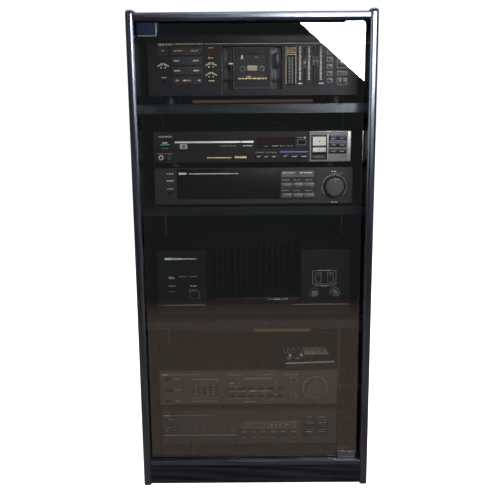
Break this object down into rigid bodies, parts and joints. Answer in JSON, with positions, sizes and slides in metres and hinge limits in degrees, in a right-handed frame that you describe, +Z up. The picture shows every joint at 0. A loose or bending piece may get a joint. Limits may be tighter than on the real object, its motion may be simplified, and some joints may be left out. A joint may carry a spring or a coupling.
{
  "type": "hi-fi rack",
  "caption": "Tall black cabinet with a hinged smoked glass door, holding stacked audio separates: tape deck, disc player, amplifiers and tuner.",
  "frame": {"origin": "on the floor, under the centre of the cabinet", "axes": "+Z up, the front with the glass door faces -Y, +X to the right of someone looking at the front"},
  "size_m": [0.5, 0.44, 1.023],
  "materials": {
    "ash_laminate": "satin black stained ash-grain laminate",
    "hardboard": "matt dark brown-black hardboard",
    "smoked_glass": "polished smoked glass",
    "chrome": "bright polished plate",
    "black_steel": "black textured paint",
    "charcoal_fascia": "satin charcoal anodised",
    "black_fascia": "satin black anodised",
    "black_aluminium": "matt black anodised",
    "black_plastic": "moulded black plastic",
    "charcoal_key": "satin charcoal plastic",
    "grey_key": "silver grey satin plastic",
    "cream_key": "satin warm grey plastic",
    "red_slider": "gloss red plastic",
    "cassette_shell": "smoked clear shell"
  },
  "bodies": {
    "cabinet": {"side_panel_left": "ash_laminate", "side_panel_right": "ash_laminate", "top_panel": "ash_laminate", "bottom_panel": "ash_laminate", "plinth_board": "ash_laminate", "back_panel": "hardboard", "shelf_upper": "ash_laminate", "shelf_middle": "ash_laminate", "shelf_lower": "ash_laminate", "hinge_socket_top": "black_steel", "hinge_socket_bottom": "black_steel", "magnetic_catch": "black_plastic", "deck_fascia": "charcoal_fascia", "deck_case": "black_steel", "cd_fascia": "black_fascia", "cd_case": "black_steel", "preamp_fascia": "charcoal_fascia", "preamp_case": "black_steel", "power_amp_base": "black_steel", "power_amp_left_tower": "black_fascia", "power_amp_right_tower": "black_fascia", "power_amp_heat_sink": "black_aluminium", "eq_amp_fascia": "black_fascia", "eq_amp_case": "black_steel", "tuner_fascia": "black_fascia", "tuner_case": "black_steel", "mixer_body": "black_plastic"},
    "glass_door": {"door_glass": "smoked_glass", "door_hinge_clip_top": "chrome", "door_hinge_clip_bottom": "chrome", "door_strike_plate": "chrome"},
    "cassette_door": {"deck_cassette_door": "charcoal_fascia", "deck_cassette": "cassette_shell"},
    "deck_power": {"deck_power_button": "black_plastic"},
    "deck_transport_row_1": {"deck_transport_key_row_1": "charcoal_key"},
    "deck_transport_row_2": {"deck_transport_key_row_2": "charcoal_key"},
    "deck_transport_row_3": {"deck_transport_key_row_3": "charcoal_key"},
    "deck_transport_row_4": {"deck_transport_key_row_4": "charcoal_key"},
    "deck_input": {"deck_input_fader": "grey_key"},
    "deck_level_left": {"deck_level_fader_left": "grey_key"},
    "deck_level_right": {"deck_level_fader_right": "grey_key"},
    "cd_disc_tray": {"cd_tray": "black_fascia"},
    "cd_power": {"cd_power_key": "black_plastic"},
    "cd_play": {"cd_play_key": "cream_key"},
    "cd_pause": {"cd_pause_key": "cream_key"},
    "cd_stop": {"cd_stop_key": "black_plastic"},
    "cd_open": {"cd_open_key": "black_plastic"},
    "preamp_volume": {"preamp_volume_knob": "black_plastic"},
    "preamp_mode": {"preamp_mode_key": "grey_key"},
    "preamp_tape": {"preamp_tape_key": "grey_key"},
    "power_amp_power": {"power_amp_power_button": "black_plastic"},
    "power_amp_level_left": {"power_amp_level_knob_left": "black_plastic"},
    "power_amp_level_right": {"power_amp_level_knob_right": "black_plastic"},
    "eq_amp_band_1": {"eq_amp_band_slider_1": "red_slider"},
    "eq_amp_band_2": {"eq_amp_band_slider_2": "red_slider"},
    "eq_amp_band_3": {"eq_amp_band_slider_3": "red_slider"},
    "eq_amp_band_4": {"eq_amp_band_slider_4": "red_slider"},
    "eq_amp_band_5": {"eq_amp_band_slider_5": "red_slider"},
    "eq_amp_volume": {"eq_amp_volume_knob": "black_plastic"},
    "tuner_preset": {"tuner_preset_bar": "black_plastic"}
  },
  "joints": [
    {"name": "door_pivot", "type": "hinge", "parent": "cabinet", "child": "glass_door", "pos_m": [0.217, -0.2025, 0.5], "axis": [0, 0, 1], "range_deg": [0, 110]},
    {"name": "cassette_door_hinge", "type": "hinge", "parent": "cabinet", "child": "cassette_door", "pos_m": [0, -0.1, 0.8714], "axis": [1, 0, 0], "range_deg": [0, 30]},
    {"name": "deck_power_press", "type": "slide", "parent": "cabinet", "child": "deck_power", "axis": [0, 1, 0], "range_m": [0, 0.0025], "stiffness_N_per_m": 300},
    {"name": "deck_transport_press_1", "type": "slide", "parent": "cabinet", "child": "deck_transport_row_1", "axis": [0, 1, 0], "range_m": [0, 0.0025], "stiffness_N_per_m": 300},
    {"name": "deck_transport_press_2", "type": "slide", "parent": "cabinet", "child": "deck_transport_row_2", "axis": [0, 1, 0], "range_m": [0, 0.0025], "stiffness_N_per_m": 300},
    {"name": "deck_transport_press_3", "type": "slide", "parent": "cabinet", "child": "deck_transport_row_3", "axis": [0, 1, 0], "range_m": [0, 0.0025], "stiffness_N_per_m": 300},
    {"name": "deck_transport_press_4", "type": "slide", "parent": "cabinet", "child": "deck_transport_row_4", "axis": [0, 1, 0], "range_m": [0, 0.0025], "stiffness_N_per_m": 300},
    {"name": "deck_input_fade", "type": "slide", "parent": "cabinet", "child": "deck_input", "axis": [0, 0, 1], "range_m": [-0.032, 0.023]},
    {"name": "deck_level_fade_left", "type": "slide", "parent": "cabinet", "child": "deck_level_left", "axis": [0, 0, 1], "range_m": [-0.036, 0.019]},
    {"name": "deck_level_fade_right", "type": "slide", "parent": "cabinet", "child": "deck_level_right", "axis": [0, 0, 1], "range_m": [-0.036, 0.019]},
    {"name": "cd_tray_slide", "type": "slide", "parent": "cabinet", "child": "cd_disc_tray", "axis": [0, -1, 0], "range_m": [0, 0.08]},
    {"name": "cd_power_press", "type": "slide", "parent": "cabinet", "child": "cd_power", "axis": [0, 1, 0], "range_m": [0, 0.0025], "stiffness_N_per_m": 300},
    {"name": "cd_play_press", "type": "slide", "parent": "cabinet", "child": "cd_play", "axis": [0, 1, 0], "range_m": [0, 0.0025], "stiffness_N_per_m": 300},
    {"name": "cd_pause_press", "type": "slide", "parent": "cabinet", "child": "cd_pause", "axis": [0, 1, 0], "range_m": [0, 0.0025], "stiffness_N_per_m": 300},
    {"name": "cd_stop_press", "type": "slide", "parent": "cabinet", "child": "cd_stop", "axis": [0, 1, 0], "range_m": [0, 0.0025], "stiffness_N_per_m": 300},
    {"name": "cd_open_press", "type": "slide", "parent": "cabinet", "child": "cd_open", "axis": [0, 1, 0], "range_m": [0, 0.0025], "stiffness_N_per_m": 300},
    {"name": "preamp_volume_turn", "type": "hinge", "parent": "cabinet", "child": "preamp_volume", "pos_m": [0.179, -0.108, 0.657], "axis": [0, 1, 0], "range_deg": [-60, 210]},
    {"name": "preamp_mode_press", "type": "slide", "parent": "cabinet", "child": "preamp_mode", "axis": [0, 1, 0], "range_m": [0, 0.0025], "stiffness_N_per_m": 300},
    {"name": "preamp_tape_press", "type": "slide", "parent": "cabinet", "child": "preamp_tape", "axis": [0, 1, 0], "range_m": [0, 0.0025], "stiffness_N_per_m": 300},
    {"name": "power_amp_power_press", "type": "slide", "parent": "cabinet", "child": "power_amp_power", "axis": [0, 1, 0], "range_m": [0, 0.0025], "stiffness_N_per_m": 300},
    {"name": "power_amp_level_turn_left", "type": "hinge", "parent": "cabinet", "child": "power_amp_level_left", "pos_m": [0.136, -0.1055, 0.414], "axis": [0, 1, 0], "range_deg": [-150, 150]},
    {"name": "power_amp_level_turn_right", "type": "hinge", "parent": "cabinet", "child": "power_amp_level_right", "pos_m": [0.1845, -0.1055, 0.414], "axis": [0, 1, 0], "range_deg": [-150, 150]},
    {"name": "eq_amp_band_fade_1", "type": "slide", "parent": "cabinet", "child": "eq_amp_band_1", "axis": [0, 0, 1], "range_m": [-0.0082, 0.0218]},
    {"name": "eq_amp_band_fade_2", "type": "slide", "parent": "cabinet", "child": "eq_amp_band_2", "axis": [0, 0, 1], "range_m": [-0.0169, 0.0131]},
    {"name": "eq_amp_band_fade_3", "type": "slide", "parent": "cabinet", "child": "eq_amp_band_3", "axis": [0, 0, 1], "range_m": [-0.0117, 0.0183]},
    {"name": "eq_amp_band_fade_4", "type": "slide", "parent": "cabinet", "child": "eq_amp_band_4", "axis": [0, 0, 1], "range_m": [-0.0191, 0.0109]},
    {"name": "eq_amp_band_fade_5", "type": "slide", "parent": "cabinet", "child": "eq_amp_band_5", "axis": [0, 0, 1], "range_m": [-0.0115, 0.0185]},
    {"name": "eq_amp_volume_turn", "type": "hinge", "parent": "cabinet", "child": "eq_amp_volume", "pos_m": [0.1375, -0.154, 0.2025], "axis": [0, 1, 0], "range_deg": [-60, 210]},
    {"name": "tuner_preset_press", "type": "slide", "parent": "cabinet", "child": "tuner_preset", "axis": [0, 1, 0], "range_m": [0, 0.002], "stiffness_N_per_m": 300}
  ]
}
